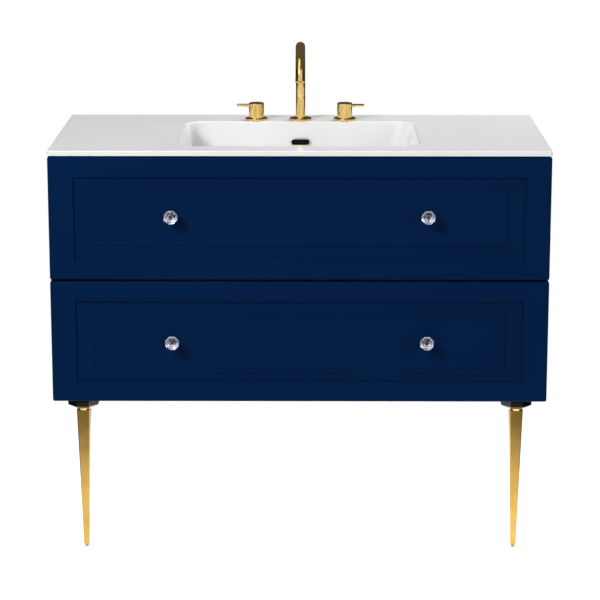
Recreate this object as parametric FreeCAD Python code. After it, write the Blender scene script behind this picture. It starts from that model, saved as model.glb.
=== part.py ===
import FreeCAD, Part
import math
import os

# Bathroom vanity cabinet: a carcass hung on the wall and propped by two front legs, two drawers on
# telescopic runners, a moulded washbasin with its waste and trap, and a three-hole tap set.
#
# Millimetres, +X to the right, +Y towards the wall, +Z up. While a sub-part is modelled, y = 0 is the
# front face of the drawer fronts and z = 0 is the floor. save() then moves it so that the origin is
# the middle of the footprint, at floor level.

# ---- Driving dimensions ----

WIDTH = 1000.0
DEPTH = 460.0  # front face to wall
KNOB_REACH = 28.0  # knobs stand this far in front of the fronts
RIM_Z = 850.0
SLAB = 10.0  # visible edge of the washbasin
CABINET_BOTTOM = 335.0

BOARD = 18.0  # carcass boards
DRAWER_BOARD = 12.0
DRAWER_SIDE = 15.0
CARCASS_FRONT = 24.0  # carcass edges stay 2 mm behind the closed fronts
RAIL_BACK = 442.0  # back face of the rear rails, which leave a service gap at the wall
RAIL_HEIGHT = 100.0

FRONT_THICK = 22.0
FRONT_HEIGHT = 249.5
FRONT_GAP = 3.5
FRAME_SIDE = 50.0  # flat frame around the milled band
FRAME_TOP = 41.0
PANEL_SIDE = 87.0  # inset of the raised centre panel
PANEL_TOP = 70.5
BAND_DEPTH = 4.0
PANEL_DEPTH = 2.0
CUTTER_DRAFT = 0.1  # lean of the milled walls, for each millimetre of depth

KNOB_X = 255.5
KNOB_ABOVE_FRONT_BOTTOM = (127.0, 131.5)  # lower drawer, upper drawer
CRYSTAL_WIDTH = 27.0  # across flats

LEG_X = 445.0
LEG_Y = 73.0
LEG_TOP = 298.5
LEG_TOP_WIDTH = 27.4
LEG_FOOT_WIDTH = 11.5
LEG_TOP_ROUND = 2.4
LEG_FOOT_ROUND = 1.2
RING_R = 15.5
COLLAR_BOTTOM = 304.0
COLLAR_WIDTH = 62.0  # across the flats of its eight sides
COLLAR_FOOT_WIDTH = 40.0
COLLAR_TOP_WIDTH = 56.0
COLLAR_WIDE = (311.0, 321.0)  # heights between which it has its full width
PLATE = 5.0

BOWL_X = 242.0  # half the opening's width
BOWL_FRONT = 60.0
BOWL_BACK = 366.0
BOWL_FLOOR = 738.0
BOWL_CORNER = 40.0
SIDE_SLOPE = 0.30  # inward run of the wall for each millimetre down
BACK_SLOPE = 0.20
SHELL = 10.0
FLOOR_ROUND = 28.0
DRAIN_Y = (BOWL_FRONT + BOWL_BACK) / 2.0
OVERFLOW_Z = 807.0

TAP_Y = 390.0
TAP_SPACING = 95.0
TAP_HOLE_R = 14.5
ROSETTE_R = 24.0
ROSETTE = 5.0
HUB_R = 16.0
HUB_TOP = 37.0  # above the deck
LEVER_Z = 31.6  # above the deck
LEVER_REACH = 41.6
LEVER_R = 3.2
SPOUT_R = 10.0
SPOUT_ARC = 55.0
SPOUT_RISE = 110.0  # deck to the centre of the arc
OUTLET_Z = 97.0  # above the deck
AERATOR = 9.0
RUNNING_FIT = 0.05

TRAP_R = 33.0
PIPE_R = 16.0
PIPE_Z = 632.0
TRAP_BOTTOM = 558.0
WELL_X = 75.0  # half the clear width of the upper drawer's well
WELL_FRONT = 140.0

RUNNER_LENGTH = 350.0
RUNNER_SPACE = 13.0
RUNNER_FRONT = 30.0
RUNNER_SHEET = 1.5

# ---- Derived dimensions ----

FRONT_Y = KNOB_REACH - (DEPTH + KNOB_REACH) / 2.0
SIDE_INNER = WIDTH / 2.0 - BOARD
SLAB_BOTTOM = RIM_Z - SLAB
RAIL_FRONT = RAIL_BACK - BOARD
DRAWER_OUTER = SIDE_INNER - RUNNER_SPACE
DRAWER_INNER = DRAWER_OUTER - DRAWER_SIDE
DRAWER_BACK = CARCASS_FRONT + 378.0

# name, bottom of the front, bottom and top of the box, height of the runner's middle
LOWER = ("lower", CABINET_BOTTOM, 365.0, 540.0, 430.0)
UPPER = ("upper", CABINET_BOTTOM + FRONT_HEIGHT + FRONT_GAP, 600.0, 712.0, 655.0)


# ---- Helpers ----


def vec(x, y, z):
    return FreeCAD.Vector(x, y, z)


def box(x0, x1, y0, y1, z0, z1):
    return Part.makeBox(x1 - x0, y1 - y0, z1 - z0, vec(x0, y0, z0))


def rod(radius, start, end):
    run = end - start
    return Part.makeCylinder(radius, run.Length, start, run)


def tube(outer, inner, start, end):
    return rod(outer, start, end).cut(rod(inner, start, end))


def cone(start_radius, end_radius, start, end):
    run = end - start
    return Part.makeCone(start_radius, end_radius, run.Length, start, run)


def mirrored(shape):
    return shape.mirror(vec(0, 0, 0), vec(1, 0, 0))


def pair(shape):
    return [shape, mirrored(shape)]


def joined(first, *others):
    return first.fuse(list(others)).removeSplitter().Solids[0]


def without(shape, cutters):
    return shape.cut(cutters).Solids[0]


def edges_along(shape, direction):
    found = []
    for edge in shape.Edges:
        run = edge.Vertexes[-1].Point - edge.Vertexes[0].Point
        if run.Length > 1e-6 and run.cross(direction).Length < 1e-6 * run.Length:
            found.append(edge)
    return found


def edges_at(shape, axis, value):
    """The edges that lie wholly in one plane, such as z = value."""
    found = []
    for edge in shape.Edges:
        bounds = edge.BoundBox
        low = getattr(bounds, axis + "Min")
        high = getattr(bounds, axis + "Max")
        if abs(low - value) < 1e-4 and abs(high - value) < 1e-4:
            found.append(edge)
    return found


def rounded_rectangle(x_half, y0, y1, radius, z):
    """A level closed wire with four arcs, centred on x = 0."""
    centres = (
        (x_half - radius, y1 - radius),
        (radius - x_half, y1 - radius),
        (radius - x_half, y0 + radius),
        (x_half - radius, y0 + radius),
    )
    arcs = []
    for quarter, (x, y) in enumerate(centres):
        start = 90 * quarter
        arcs.append(Part.makeCircle(radius, vec(x, y, z), vec(0, 0, 1), start, start + 90))
    edges = []
    for arc, following in zip(arcs, arcs[1:] + arcs[:1]):
        edges += [arc, Part.makeLine(arc.lastVertex().Point, following.firstVertex().Point)]
    return Part.Wire(edges)


def rectangle(x_half, y, z0, z1):
    """An upright closed wire in the plane of the fronts, centred on x = 0."""
    corners = [vec(-x_half, y, z0), vec(x_half, y, z0), vec(x_half, y, z1), vec(-x_half, y, z1)]
    return Part.makePolygon(corners + [corners[0]])


def level_slot(width, height, y0, y1, z):
    """A bar with half-round ends, lying along Y and centred on x = 0."""
    end = (width - height) / 2.0
    bar = box(-end, end, y0, y1, z - height / 2.0, z + height / 2.0)
    ends = [rod(height / 2.0, vec(x, y0, z), vec(x, y1, z)) for x in (-end, end)]
    return joined(bar, *ends)


def cut_crystal(rings, sides=8):
    """A faceted solid about Z. Each ring is (radius, z, turned), where a turned ring starts half a
    side later, so that two rings that differ in turn are joined by triangles."""
    corners = []
    for radius, z, turned in rings:
        start = 0.0 if turned else 0.5
        angles = [2 * math.pi * (start + side) / sides for side in range(sides)]
        corners.append([vec(radius * math.cos(a), radius * math.sin(a), z) for a in angles])
    faces = [flat_face(corners[0]), flat_face(corners[-1])]
    for (low, high), (below, above) in zip(zip(corners, corners[1:]), zip(rings, rings[1:])):
        for side in range(sides):
            after = (side + 1) % sides
            if below[2] == above[2]:
                faces.append(flat_face([low[side], low[after], high[after], high[side]]))
            elif below[2]:
                faces.append(flat_face([low[side], low[after], high[side]]))
                faces.append(flat_face([high[side], high[after], low[after]]))
            else:
                faces.append(flat_face([low[side], low[after], high[after]]))
                faces.append(flat_face([high[side], high[after], low[side]]))
    solid = Part.makeSolid(Part.makeShell(faces))
    if solid.Volume < 0:
        solid.reverse()
    return solid


def flat_face(points):
    return Part.Face(Part.makePolygon(points + [points[0]]))


def save(name, *shapes):
    shape = shapes[0].copy() if len(shapes) == 1 else Part.makeCompound(list(shapes))
    shape.translate(vec(0, FRONT_Y, 0))
    shape.exportStep(f"parts/{name}.step")


# ---- Carcass ----

CAM_R = 7.5
CAM_DEPTH = 12.5
CAM_BOLT_R = 3.5
CAM_FROM_EDGE = 34.0
CAM_BOLT_BITE = 11.0
CAM_BELOW_TOP = 18.0
CAM_BOTTOM_Y = (150.0, 350.0)
FRONT_RAIL_BACK = 46.0
PLATE_SCREW_R = 2.0
PLATE_SCREW_HEAD_R = 4.0
PLATE_SCREW_HEAD = 2.5
PLATE_SCREW_BITE = 13.0
PLATE_SCREW_FROM_MIDDLE = 22.0


def cam_places():
    """Centre of each cam on the right-hand side, the way it faces, and the board that it is in."""
    places = [(y, CABINET_BOTTOM, vec(0, 0, 1), "bottom") for y in CAM_BOTTOM_Y]
    front_rail_middle = (CARCASS_FRONT + FRONT_RAIL_BACK) / 2.0
    low_rail_middle = CABINET_BOTTOM + BOARD + RAIL_HEIGHT / 2.0
    places.append((front_rail_middle, SLAB_BOTTOM - BOARD, vec(0, 0, 1), "front"))
    places.append((RAIL_FRONT, SLAB_BOTTOM - CAM_BELOW_TOP, vec(0, 1, 0), "rear_top"))
    places.append((RAIL_FRONT, low_rail_middle, vec(0, 1, 0), "rear_bottom"))
    return places


def cam_lock(y, z, inward):
    centre = vec(SIDE_INNER - CAM_FROM_EDGE, y, z)
    middle = centre + inward * (BOARD / 2.0)
    bolt_end = vec(SIDE_INNER + CAM_BOLT_BITE, middle.y, middle.z)
    return joined(rod(CAM_R, centre, centre + inward * CAM_DEPTH), rod(CAM_BOLT_R, middle, bolt_end))


def cam_locks(board=None):
    locks = []
    for y, z, inward, name in cam_places():
        if board in (None, name):
            locks += pair(cam_lock(y, z, inward))
    return locks


def plate_screws():
    """Four wood screws in each leg plate."""
    low = CABINET_BOTTOM - PLATE
    screws = []
    for x in (LEG_X - PLATE_SCREW_FROM_MIDDLE, LEG_X + PLATE_SCREW_FROM_MIDDLE):
        for y in (LEG_Y - PLATE_SCREW_FROM_MIDDLE, LEG_Y + PLATE_SCREW_FROM_MIDDLE):
            start = vec(x, y, low)
            head = cone(PLATE_SCREW_HEAD_R, PLATE_SCREW_R, start, vec(x, y, low + PLATE_SCREW_HEAD))
            shank = rod(PLATE_SCREW_R, start, vec(x, y, CABINET_BOTTOM + PLATE_SCREW_BITE))
            screws += pair(joined(head, shank))
    return screws


def side_panel():
    panel = box(SIDE_INNER, WIDTH / 2.0, CARCASS_FRONT, DEPTH, CABINET_BOTTOM, SLAB_BOTTOM)
    return without(panel, cam_locks())


def bottom_panel():
    top = CABINET_BOTTOM + BOARD
    panel = box(-SIDE_INNER, SIDE_INNER, CARCASS_FRONT, RAIL_BACK, CABINET_BOTTOM, top)
    return without(panel, cam_locks("bottom") + plate_screws())


def front_rail():
    low = SLAB_BOTTOM - BOARD
    rail = box(-SIDE_INNER, SIDE_INNER, CARCASS_FRONT, FRONT_RAIL_BACK, low, SLAB_BOTTOM)
    return without(rail, cam_locks("front"))


HOOK_X = 460.0
HOOK_Z = 775.0
HOOK_HALF = 9.0
HOOK_STEEL = 4.0
HOOK_LIP = 2.5  # thickness of the lip that hangs on the wall plate
HOOK_END = 454.0
HOOK_SLOT = (30.0, 24.0)  # width and height of the slot in the rail
HANGER_FRONT = 372.0
HANGER_HALF = 28.0
HANGER_INNER = 438.0
HANGER_POCKET = 392.0
HANGER_SCREW_R = 2.5
HANGER_SCREW_Z = 16.0
HANGER_SCREW_DEPTH = 12.0


def rear_top_rail():
    low = SLAB_BOTTOM - RAIL_HEIGHT
    rail = box(-SIDE_INNER, SIDE_INNER, RAIL_FRONT, RAIL_BACK, low, SLAB_BOTTOM)
    x = HOOK_SLOT[0] / 2.0
    z = HOOK_SLOT[1] / 2.0
    slot = box(HOOK_X - x, HOOK_X + x, RAIL_FRONT, RAIL_BACK, HOOK_Z - z, HOOK_Z + z)
    return without(rail, cam_locks("rear_top") + pair(slot))


def rear_bottom_rail():
    low = CABINET_BOTTOM + BOARD
    rail = box(-SIDE_INNER, SIDE_INNER, RAIL_FRONT, RAIL_BACK, low, low + RAIL_HEIGHT)
    return without(rail, cam_locks("rear_bottom"))


def hanger():
    """The housing on the side panel that the adjustable hook sits in."""
    low = HOOK_Z - HANGER_HALF
    high = HOOK_Z + HANGER_HALF
    body = box(HANGER_INNER, SIDE_INNER, HANGER_FRONT, RAIL_FRONT, low, high)
    side = HOOK_HALF + 1.0
    pocket = box(HOOK_X - side, HOOK_X + side, HANGER_POCKET, RAIL_FRONT, HOOK_Z - 5.0, HOOK_Z + 5.0)
    cutters = [pocket]
    for z in (HOOK_Z - HANGER_SCREW_Z, HOOK_Z + HANGER_SCREW_Z):
        start = vec(HOOK_X - 12.0, HANGER_FRONT, z)
        cutters.append(rod(HANGER_SCREW_R, start, start + vec(0, HANGER_SCREW_DEPTH, 0)))
    return without(body, cutters)


WALL_PLATE = 3.0
WALL_PLATE_HALF = (21.0, 34.0)
WALL_HOLE_R = 3.0
WALL_HOLE_Z = 24.0
CATCH_HALF = 14.0
CATCH_FRONT = 447.0
CATCH_LOW = 16.0  # below the hook's middle
CATCH_TOP = 3.0


def hanger_hook():
    """A steel tongue that runs back through the rail and drops behind the lip of the wall plate."""
    x0 = HOOK_X - HOOK_HALF
    x1 = HOOK_X + HOOK_HALF
    under = HOOK_Z - HOOK_STEEL / 2.0
    tongue = box(x0, x1, HANGER_POCKET + 1.0, HOOK_END, under, under + HOOK_STEEL)
    lip = box(x0, x1, HOOK_END - HOOK_LIP, HOOK_END, HOOK_Z - 12.0, under)
    return joined(tongue, lip)


def wall_plate():
    half_x, half_z = WALL_PLATE_HALF
    face = DEPTH - WALL_PLATE
    shelf_top = HOOK_Z - CATCH_LOW + WALL_PLATE
    plate = box(HOOK_X - half_x, HOOK_X + half_x, face, DEPTH, HOOK_Z - half_z, HOOK_Z + half_z)
    x0 = HOOK_X - CATCH_HALF
    x1 = HOOK_X + CATCH_HALF
    shelf = box(x0, x1, CATCH_FRONT, face, HOOK_Z - CATCH_LOW, shelf_top)
    lip = box(x0, x1, CATCH_FRONT, CATCH_FRONT + WALL_PLATE, shelf_top, HOOK_Z - CATCH_TOP)
    holes = []
    for z in (HOOK_Z - WALL_HOLE_Z, HOOK_Z + WALL_HOLE_Z):
        holes.append(rod(WALL_HOLE_R, vec(HOOK_X, CATCH_FRONT, z), vec(HOOK_X, DEPTH, z)))
    return without(joined(plate, shelf, lip), holes)


# ---- Legs ----

STUD_R = 4.0
STUD_DEPTH = 45.0
TIP_Z = 8.0
GLIDE = 2.0
GLIDE_R = 3.5
RING_ROUND = 1.2
LEG_PLATE_HALF = 30.0
LEG_PLATE_CORNER = 5.0


def leg_section(width, corner, z):
    """A level square with round corners, about the leg's middle."""
    half = width / 2.0
    wire = rounded_rectangle(half, LEG_Y - half, LEG_Y + half, corner, z)
    wire.translate(vec(LEG_X, 0, 0))
    return wire


def leg():
    """A square taper with eased corners and a blunt tip."""
    sections = [
        leg_section(LEG_FOOT_WIDTH - 4.0, LEG_FOOT_ROUND, GLIDE),
        leg_section(LEG_FOOT_WIDTH, LEG_FOOT_ROUND, TIP_Z),
        leg_section(LEG_TOP_WIDTH, LEG_TOP_ROUND, LEG_TOP),
    ]
    body = Part.makeLoft(sections, True, True)
    hole = rod(STUD_R, vec(LEG_X, LEG_Y, LEG_TOP - STUD_DEPTH), vec(LEG_X, LEG_Y, LEG_TOP))
    return without(body, [hole])


def foot_glide():
    return rod(GLIDE_R, vec(LEG_X, LEG_Y, 0), vec(LEG_X, LEG_Y, GLIDE))


def leg_ring():
    ring = tube(RING_R, STUD_R, vec(LEG_X, LEG_Y, LEG_TOP), vec(LEG_X, LEG_Y, COLLAR_BOTTOM))
    circles = [edge for edge in ring.Edges if edge.Curve.TypeId == "Part::GeomCircle"]
    outer = [edge for edge in circles if edge.Curve.Radius > STUD_R + 1]
    return ring.makeFillet(RING_ROUND, outer)


def crystal_collar():
    """A cut ring of glass, with sloping facets above and below its wide middle."""
    top = CABINET_BOTTOM - PLATE
    flat_to_corner = 0.5 / math.cos(math.pi / 8.0)
    rings = (
        (COLLAR_FOOT_WIDTH * flat_to_corner, COLLAR_BOTTOM, False),
        (COLLAR_WIDTH * flat_to_corner, COLLAR_WIDE[0], False),
        (COLLAR_WIDTH * flat_to_corner, COLLAR_WIDE[1], False),
        (COLLAR_TOP_WIDTH * flat_to_corner, top, False),
    )
    crystal = cut_crystal(rings)
    crystal.translate(vec(LEG_X, LEG_Y, 0))
    return without(crystal, [rod(STUD_R, vec(LEG_X, LEG_Y, COLLAR_BOTTOM), vec(LEG_X, LEG_Y, top))])


def leg_stud():
    return rod(STUD_R, vec(LEG_X, LEG_Y, LEG_TOP - STUD_DEPTH), vec(LEG_X, LEG_Y, CABINET_BOTTOM))


def leg_plate():
    side = 2.0 * LEG_PLATE_HALF
    corner = vec(LEG_X - LEG_PLATE_HALF, LEG_Y - LEG_PLATE_HALF, CABINET_BOTTOM - PLATE)
    plate = Part.makeBox(side, side, PLATE, corner)
    plate = plate.makeFillet(LEG_PLATE_CORNER, edges_along(plate, vec(0, 0, 1)))
    right_screws = [screw for screw in plate_screws() if screw.BoundBox.XMin > 0]
    return without(plate, right_screws + [leg_stud()])


# ---- Washbasin ----


def bowl_wire(grow, z):
    """Outline of the bowl at a height, moved outwards by grow."""
    fall = RIM_Z - z
    return rounded_rectangle(
        BOWL_X + grow - SIDE_SLOPE * fall,
        BOWL_FRONT - grow + SIDE_SLOPE * fall,
        BOWL_BACK + grow - BACK_SLOPE * fall,
        BOWL_CORNER + grow,
        z,
    )


def bowl_block(grow, floor_z, floor_round):
    block = Part.makeLoft([bowl_wire(grow, floor_z), bowl_wire(grow, RIM_Z)], True, True)
    return block.makeFillet(floor_round, edges_at(block, "Z", floor_z))


FLANGE_R = 32.0
FLANGE = 3.0
DRAIN_R = 23.0
DISH_R = 70.0
DISH = 2.5  # fall of the floor towards the flange
OVERFLOW_SLOT = (41.0, 14.0)
OVERFLOW_RIM = (45.0, 18.0)
OVERFLOW_HOLE = (38.5, 11.5)


def washbasin():
    slab = box(-WIDTH / 2.0, WIDTH / 2.0, 0, DEPTH, SLAB_BOTTOM, RIM_Z)
    slab = slab.makeFillet(4.0, edges_along(slab, vec(0, 0, 1)))
    slab = slab.makeFillet(2.0, edges_at(slab, "Z", RIM_Z))
    bowl = bowl_block(SHELL, BOWL_FLOOR - SHELL, FLOOR_ROUND + SHELL)
    cavity = bowl_block(0.0, BOWL_FLOOR, FLOOR_ROUND)
    basin = without(joined(slab, bowl), [cavity])
    rim = [edge for edge in edges_at(basin, "Z", RIM_Z) if abs(edge.CenterOfMass.x) < BOWL_X + 1]
    rim = [edge for edge in rim if BOWL_FRONT - 1 < edge.CenterOfMass.y < BOWL_BACK + 1]
    basin = basin.makeFillet(5.0, rim)
    drain = vec(0, DRAIN_Y, BOWL_FLOOR)
    down = vec(0, 0, -1)
    dish = cone(DISH_R, FLANGE_R + 4.0, drain + down * -0.01, drain + down * DISH)
    seat = rod(FLANGE_R, drain, drain + down * (DISH + FLANGE))
    hole = rod(DRAIN_R, drain, drain + down * 2 * SHELL)
    overflow = level_slot(*OVERFLOW_SLOT, BOWL_BACK - 30.0, BOWL_BACK + 20.0, OVERFLOW_Z)
    cutters = [dish, seat, hole, overflow]
    for x in (-TAP_SPACING, 0.0, TAP_SPACING):
        cutters.append(rod(TAP_HOLE_R, vec(x, TAP_Y, SLAB_BOTTOM - 1), vec(x, TAP_Y, RIM_Z + 1)))
    return without(basin, cutters)


def back_wall_y(z):
    return BOWL_BACK - BACK_SLOPE * (RIM_Z - z)


def overflow_trim():
    """A sleeve in the overflow slot with a thin rim on the bowl's side."""
    wall_y = back_wall_y(OVERFLOW_Z)
    face = wall_y - 3.5
    sleeve = level_slot(*OVERFLOW_SLOT, face, wall_y + SHELL + 1.0, OVERFLOW_Z)
    rim = level_slot(*OVERFLOW_RIM, face, face + 1.5, OVERFLOW_Z)
    hole = level_slot(*OVERFLOW_HOLE, face - 0.5, wall_y + SHELL + 2.0, OVERFLOW_Z)
    return without(joined(sleeve, rim), [hole])


# ---- Waste and trap ----

TAIL_R = 20.95
OUTLET_FREE = 300.0  # the outlet pipe has its full diameter from here to the wall
TAIL_BOTTOM = 664.0
STEM_R = 5.0
DUCT_R = 6.0
DUCT_Z = 700.0
DUCT_BEND = 22.0
DUCT_WALL = 1.2
STEM_BOTTOM = 690.0
GUIDE = (708.0, 722.0)  # bottom and top of the stem's guide
PLUG_R = 29.0
CUP_TOP = 590.0
TRAP_TOP = 655.0
TRAP_WALL = 3.0
WASTE_NUT = 10.0
GRIP_RIBS = 12
FLANGE_TOP = BOWL_FLOOR - DISH
BASIN_UNDER = BOWL_FLOOR - SHELL


def drain_at(z):
    return vec(0, DRAIN_Y, z)


def overflow_duct():
    """A chamber over the slot's outlet and a bent pipe from it to the waste's side port."""
    wall_y = back_wall_y(OVERFLOW_Z) + SHELL
    pipe_y = wall_y + 2.8
    chamber = box(-26.0, 26.0, wall_y - 6.0, wall_y + 9.5, OVERFLOW_Z - 15.0, OVERFLOW_Z + 13.0)
    inside = box(-24.0, 24.0, wall_y - 6.0, wall_y + 8.0, OVERFLOW_Z - 12.0, OVERFLOW_Z + 11.0)
    start = vec(0, pipe_y, OVERFLOW_Z - 13.0)
    turn_start = vec(0, pipe_y, DUCT_Z + DUCT_BEND)
    middle_run = DUCT_BEND * (1.0 - math.sqrt(0.5))
    turn_middle = vec(0, pipe_y - middle_run, DUCT_Z + middle_run)
    turn_end = vec(0, pipe_y - DUCT_BEND, DUCT_Z)
    end = vec(0, DRAIN_Y + TAIL_R - 3.0, DUCT_Z)
    turn = Part.Arc(turn_start, turn_middle, turn_end).toShape()
    path = Part.Wire([Part.makeLine(start, turn_start), turn, Part.makeLine(turn_end, end)])
    solids = []
    for radius in (DUCT_R, DUCT_R - DUCT_WALL):
        profile = Part.Wire([Part.makeCircle(radius, start, vec(0, 0, 1))])
        solids.append(path.makePipeShell([profile], True, True))
    duct = joined(chamber, solids[0]).cut([inside, solids[1]])
    basin = bowl_block(SHELL, BASIN_UNDER, FLOOR_ROUND + SHELL)
    tail = rod(TAIL_R, drain_at(TAIL_BOTTOM), drain_at(BASIN_UNDER))
    return without(duct, [basin, overflow_trim(), tail])


def waste_body():
    """Flange, threaded tail and a spider that guides the plug's stem."""
    flange = rod(FLANGE_R, drain_at(FLANGE_TOP - FLANGE), drain_at(FLANGE_TOP))
    tail = rod(TAIL_R, drain_at(TAIL_BOTTOM), drain_at(FLANGE_TOP))
    body = joined(flange, tail)
    bore = rod(TAIL_R - 2.5, drain_at(TAIL_BOTTOM), drain_at(FLANGE_TOP))
    port = rod(DUCT_R - DUCT_WALL, vec(0, DRAIN_Y, DUCT_Z), vec(0, DRAIN_Y + TAIL_R + 1, DUCT_Z))
    body = without(body, [bore, port])
    guide = tube(8.0, STEM_R + RUNNING_FIT, drain_at(GUIDE[0]), drain_at(GUIDE[1]))
    arms = []
    for angle in (0, 120, 240):
        arm = box(7.0, TAIL_R - 1.0, DRAIN_Y - 1.5, DRAIN_Y + 1.5, GUIDE[0], GUIDE[0] + 6.0)
        arm.rotate(drain_at(0), vec(0, 0, 1), angle + 30)
        arms.append(arm)
    return joined(body, guide, *arms)


def waste_seal():
    return tube(30.0, TAIL_R, drain_at(BASIN_UNDER - 3.0), drain_at(BASIN_UNDER))


def hexagon(across_flats, centre_of, z0, z1):
    radius = across_flats / 2.0 / math.cos(math.pi / 6.0)
    turns = [math.pi * corner / 3.0 for corner in range(6)]
    corners = [vec(radius * math.cos(turn), radius * math.sin(turn), z0) for turn in turns]
    prism = flat_face(corners).extrude(vec(0, 0, z1 - z0))
    prism.translate(vec(centre_of.x, centre_of.y, 0))
    return prism


def waste_nut():
    top = BASIN_UNDER - 3.0
    prism = hexagon(56.0, drain_at(0), top - WASTE_NUT, top)
    return without(prism, [rod(TAIL_R, drain_at(BASIN_UNDER - 20.0), drain_at(BASIN_UNDER))])


def waste_plug():
    """A domed disc over the flange, with the stem that slides in the spider."""
    top = FLANGE_TOP + 5.0
    disc = rod(PLUG_R, drain_at(FLANGE_TOP + 0.3), drain_at(top))
    disc = disc.makeFillet(2.2, edges_at(disc, "Z", top))
    return joined(disc, rod(STEM_R, drain_at(STEM_BOTTOM), drain_at(FLANGE_TOP + 1.0)))


def trap_inlet():
    return tube(PIPE_R, PIPE_R - 1.5, drain_at(CUP_TOP), drain_at(TAIL_BOTTOM - 1.0))


def trap_nuts():
    """Union nuts: under the waste's tail, on the trap's top and on its outlet."""
    inlet = tube(TAIL_R + 5.0, TAIL_R, drain_at(TAIL_BOTTOM), drain_at(TAIL_BOTTOM + 14.0))
    inlet_floor = tube(TAIL_R + 5.0, PIPE_R, drain_at(TAIL_BOTTOM - 6.0), drain_at(TAIL_BOTTOM))
    upper = joined(inlet, inlet_floor)
    outlet_start = vec(0, DRAIN_Y + TRAP_R + 1.0, PIPE_Z)
    outlet_end = outlet_start + vec(0, 20.0, 0)
    outlet = tube(PIPE_R + 8.0, PIPE_R, outlet_start, outlet_end)
    return [upper, outlet]


def trap_body():
    """The bottle: its shell, its shoulder around the inlet and the socket for the outlet pipe."""
    shell = rod(TRAP_R, drain_at(CUP_TOP), drain_at(TRAP_TOP))
    shell = shell.makeFillet(6.0, edges_at(shell, "Z", TRAP_TOP))
    socket = rod(PIPE_R + 4.0, vec(0, DRAIN_Y, PIPE_Z), vec(0, DRAIN_Y + TRAP_R + 1.0, PIPE_Z))
    hollow = rod(TRAP_R - TRAP_WALL, drain_at(CUP_TOP), drain_at(TRAP_TOP - 4.0))
    outlet = rod(PIPE_R, vec(0, DRAIN_Y, PIPE_Z), vec(0, DRAIN_Y + TRAP_R + 2.0, PIPE_Z))
    inlet = rod(PIPE_R, drain_at(CUP_TOP), drain_at(TRAP_TOP + 1.0))
    return without(joined(shell, socket), [hollow, outlet, inlet])


def trap_cup():
    """The screwed cup that takes the dirt, with grip ribs."""
    cup = rod(TRAP_R, drain_at(TRAP_BOTTOM), drain_at(CUP_TOP))
    cup = cup.makeFillet(5.0, edges_at(cup, "Z", TRAP_BOTTOM))
    ribs = []
    rib_low = TRAP_BOTTOM + 8.0
    rib_high = CUP_TOP - 4.0
    for step in range(GRIP_RIBS):
        rib = box(TRAP_R - 1.0, TRAP_R + 1.5, DRAIN_Y - 2.0, DRAIN_Y + 2.0, rib_low, rib_high)
        rib.rotate(drain_at(0), vec(0, 0, 1), 360.0 * (step + 0.5) / GRIP_RIBS)
        ribs.append(rib)
    hollow = rod(TRAP_R - TRAP_WALL, drain_at(TRAP_BOTTOM + TRAP_WALL), drain_at(CUP_TOP))
    return without(joined(cup, *ribs), [hollow])


def trap_outlet():
    """Outlet pipe, drawn down a little where the trap's socket and nut hold it."""
    held = rod(PIPE_R - 0.2, vec(0, DRAIN_Y + TRAP_R - 3.0, PIPE_Z), vec(0, OUTLET_FREE, PIPE_Z))
    free = rod(PIPE_R, vec(0, OUTLET_FREE, PIPE_Z), vec(0, DEPTH, PIPE_Z))
    bore = rod(PIPE_R - 1.7, vec(0, DRAIN_Y + TRAP_R - 4.0, PIPE_Z), vec(0, DEPTH + 1, PIPE_Z))
    return without(joined(held, free), [bore])


# ---- Taps ----

THREAD_R = 12.0
NECK_R = 9.0
INLET_R = 10.48
INLET = 14.0
VALVE_BOTTOM = 792.0
SHANK_R = 7.0
LINK_R = 5.0
LINK_Z = 806.0
TAP_NUT = 9.0
VALVE_NECK = 22.0
SHANK_NECK = 26.0
LEVER_ROOT = 8.0  # how far the lever's bar runs into the hub
HUB_BOTTOM = RIM_Z + ROSETTE + 0.3


def at_tap(x, z):
    return vec(x, TAP_Y, z)


def rosette(x, bore):
    disc = rod(ROSETTE_R, at_tap(x, RIM_Z), at_tap(x, RIM_Z + ROSETTE))
    disc = disc.makeFillet(1.5, edges_at(disc, "Z", RIM_Z + ROSETTE))
    return without(disc, [rod(bore, at_tap(x, RIM_Z - 1), at_tap(x, RIM_Z + ROSETTE + 1))])


def valve():
    """Threaded body under the deck, the inlet below it and the neck that the hub turns on."""
    body = rod(THREAD_R, at_tap(TAP_SPACING, VALVE_BOTTOM), at_tap(TAP_SPACING, RIM_Z))
    inlet = rod(INLET_R, at_tap(TAP_SPACING, VALVE_BOTTOM - INLET), at_tap(TAP_SPACING, VALVE_BOTTOM))
    neck = rod(NECK_R, at_tap(TAP_SPACING, RIM_Z), at_tap(TAP_SPACING, RIM_Z + VALVE_NECK))
    waterway = rod(5.0, at_tap(TAP_SPACING, VALVE_BOTTOM - INLET), at_tap(TAP_SPACING, LINK_Z))
    side = TAP_SPACING - THREAD_R - 1
    side_port = rod(LINK_R, at_tap(TAP_SPACING - 6.0, LINK_Z), at_tap(side, LINK_Z))
    return without(joined(body, inlet, neck), [waterway, side_port])


def spout_shank():
    body = rod(THREAD_R, at_tap(0, VALVE_BOTTOM), at_tap(0, RIM_Z))
    neck = rod(SHANK_R, at_tap(0, RIM_Z), at_tap(0, RIM_Z + SHANK_NECK))
    waterway = rod(4.0, at_tap(0, LINK_Z), at_tap(0, RIM_Z + SHANK_NECK + 1))
    ports = rod(LINK_R, at_tap(-THREAD_R - 1, LINK_Z), at_tap(THREAD_R + 1, LINK_Z))
    return without(joined(body, neck), [waterway, ports])


def link_tube():
    """A pipe whose two ends are held 4 mm deep in the threaded bodies."""
    held = THREAD_R - 4.0
    return tube(LINK_R, LINK_R - 1.2, at_tap(held, LINK_Z), at_tap(TAP_SPACING - held, LINK_Z))


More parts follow.
